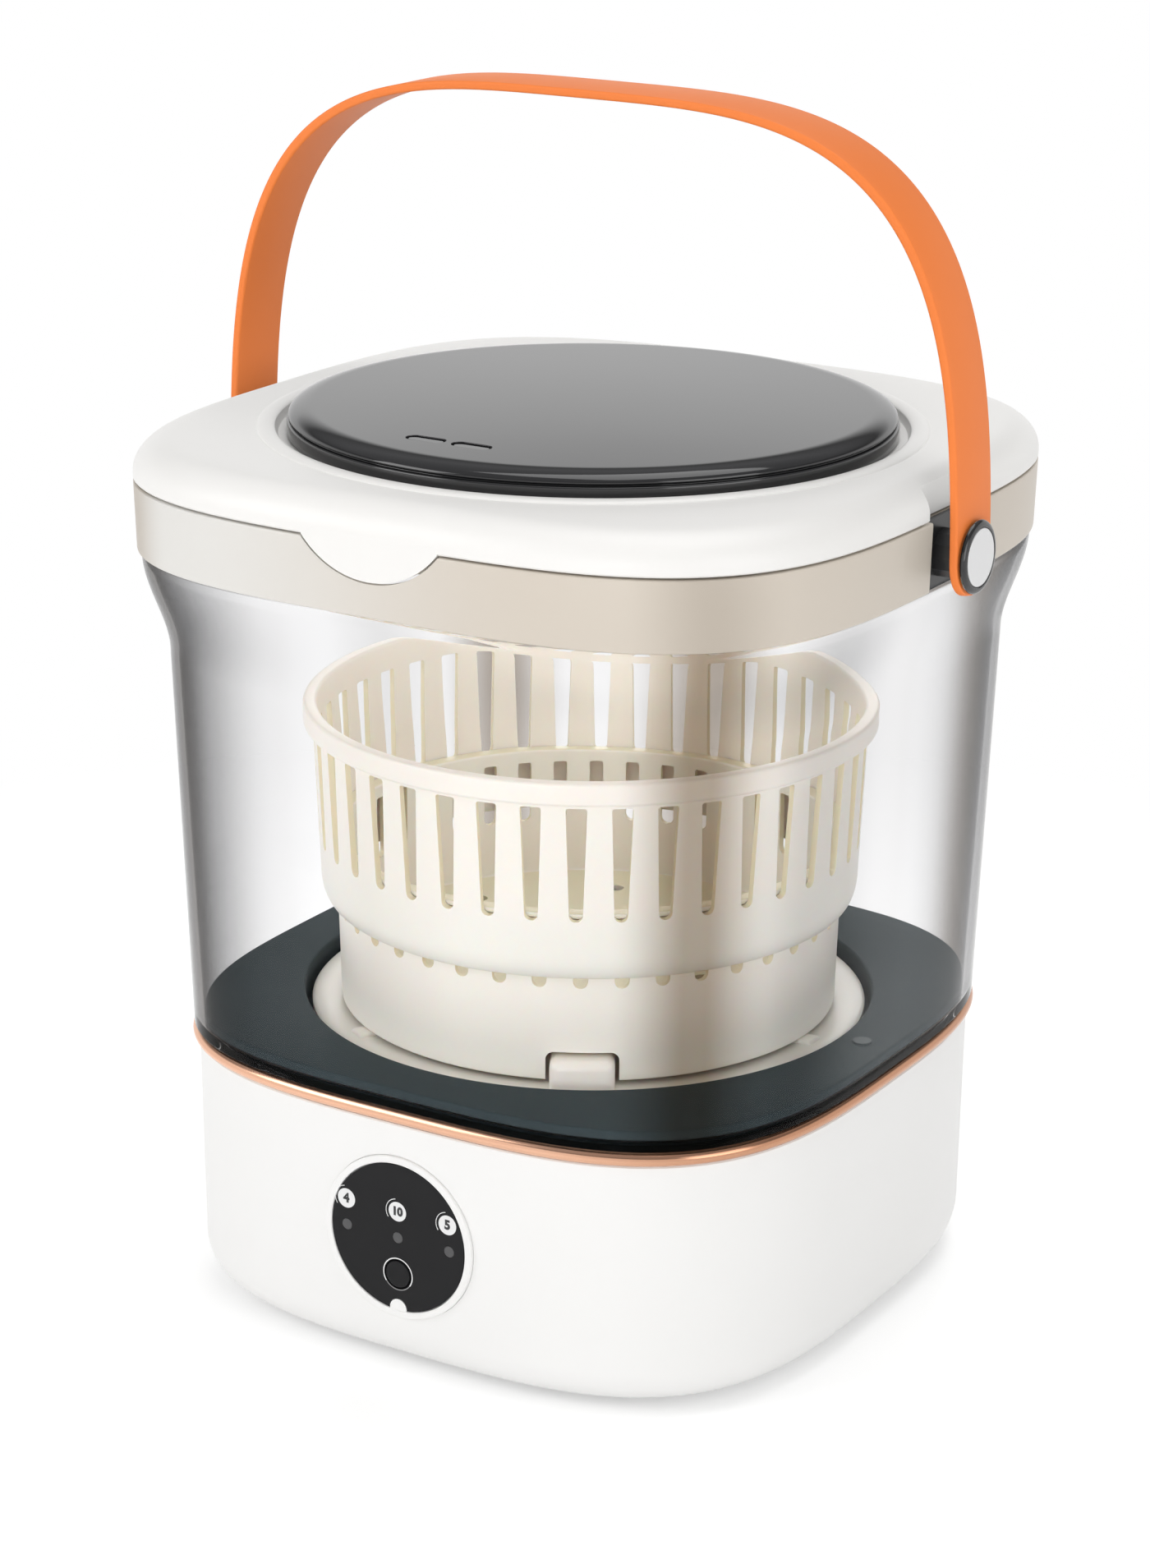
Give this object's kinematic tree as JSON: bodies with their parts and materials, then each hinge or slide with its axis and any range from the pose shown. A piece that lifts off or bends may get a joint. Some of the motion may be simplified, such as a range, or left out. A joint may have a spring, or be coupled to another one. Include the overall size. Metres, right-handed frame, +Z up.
{
  "type": "portable washing machine",
  "caption": "Squarish tabletop washing tub with flared clear wall, lift-off lid, strap handle on side pivots, slotted spin basket on a pulsator, and a motor base with a round control panel",
  "frame": {"origin": "under the middle of the machine, on the plane that the feet stand on", "axes": "+X to the machine's left-hand pivot as seen from behind, which is the right-hand side seen from the front, +Y to the back, +Z up. The control panel faces -Y"},
  "size_m": [0.3036, 0.28, 0.4334],
  "materials": {
    "white_plastic": "satin moulded white",
    "clear_plastic": "clear, polished",
    "copper_trim": "copper-coloured bright plating",
    "champagne_band": "warm grey, smooth",
    "slate_floor": "dark slate, satin",
    "cream_plastic": "cream, satin",
    "orange_strap": "flexible strap, matte",
    "gloss_grey": "dark grey, polished",
    "black_plastic": "black, smooth",
    "pale_cap": "pale metallic",
    "steel": "machined",
    "rubber": "matte",
    "silicone": "matte",
    "board": "solder mask",
    "grey_lens": "smoked lens"
  },
  "bodies": {
    "machine": {"base_housing": "white_plastic", "bearing_lower": "steel", "bearing_spacer": "steel", "bearing_upper": "steel", "bottom_cover": "white_plastic", "clear_tub": "clear_plastic", "copper_trim_ring": "copper_trim", "cover_screw_1": "steel", "cover_screw_2": "steel", "cover_screw_3": "steel", "cover_screw_4": "steel", "dc_jack": "black_plastic", "drain_pipe": "white_plastic", "floor_screw_1": "steel", "floor_screw_2": "steel", "floor_screw_3": "steel", "floor_screw_4": "steel", "floor_seal": "silicone", "foot_1": "rubber", "foot_2": "rubber", "foot_3": "rubber", "foot_4": "rubber", "indicator_lens_1": "grey_lens", "indicator_lens_2": "grey_lens", "indicator_lens_3": "grey_lens", "motor_can": "steel", "motor_magnet_ring": "black_plastic", "motor_mount": "steel", "motor_screw_1": "steel", "motor_screw_2": "steel", "motor_screw_3": "steel", "motor_screw_4": "steel", "panel_bezel": "white_plastic", "panel_board": "board", "panel_glass": "black_plastic", "pivot_cap_disc_left": "pale_cap", "pivot_cap_disc_right": "pale_cap", "pivot_cap_ring_left": "black_plastic", "pivot_cap_ring_right": "black_plastic", "pivot_mount_left": "black_plastic", "pivot_mount_right": "black_plastic", "pivot_pin_left": "steel", "pivot_pin_right": "steel", "power_board": "board", "rim_band": "champagne_band", "shaft_seal": "rubber", "tub_floor": "slate_floor"},
    "handle": {"handle_strap": "orange_strap"},
    "lid": {"lid_frame": "white_plastic", "lid_gasket": "silicone", "lid_liner": "white_plastic", "lid_dome": "gloss_grey"},
    "pulsator": {"pulsator": "cream_plastic", "pulsator_bolt": "steel", "drive_shaft": "steel", "motor_rotor": "steel"},
    "basket": {"basket_cup": "cream_plastic", "basket_ring": "cream_plastic"},
    "button": {"mode_button": "black_plastic"},
    "plug": {"drain_plug": "rubber"}
  },
  "joints": [
    {"name": "handle_swing", "type": "hinge", "parent": "machine", "child": "handle", "pos_m": [0, 0, 0.289], "axis": [1, 0, 0], "range_deg": [-90, 90]},
    {"name": "lid_lift", "type": "slide", "parent": "machine", "child": "lid", "axis": [0, 0, 1], "range_m": [0, 0.05]},
    {"name": "pulsator_spin", "type": "hinge", "parent": "machine", "child": "pulsator", "pos_m": [0, 0, 0.1], "axis": [0, 0, 1], "continuous": true},
    {"name": "basket_lift", "type": "slide", "parent": "pulsator", "child": "basket", "axis": [0, 0, 1], "range_m": [0, 0.07]},
    {"name": "button_press", "type": "slide", "parent": "machine", "child": "button", "axis": [0, 1, 0], "range_m": [0, 0.0012], "stiffness_N_per_m": 400},
    {"name": "drain_plug_pull", "type": "slide", "parent": "machine", "child": "plug", "axis": [0, 1, 0], "range_m": [0, 0.02]}
  ]
}
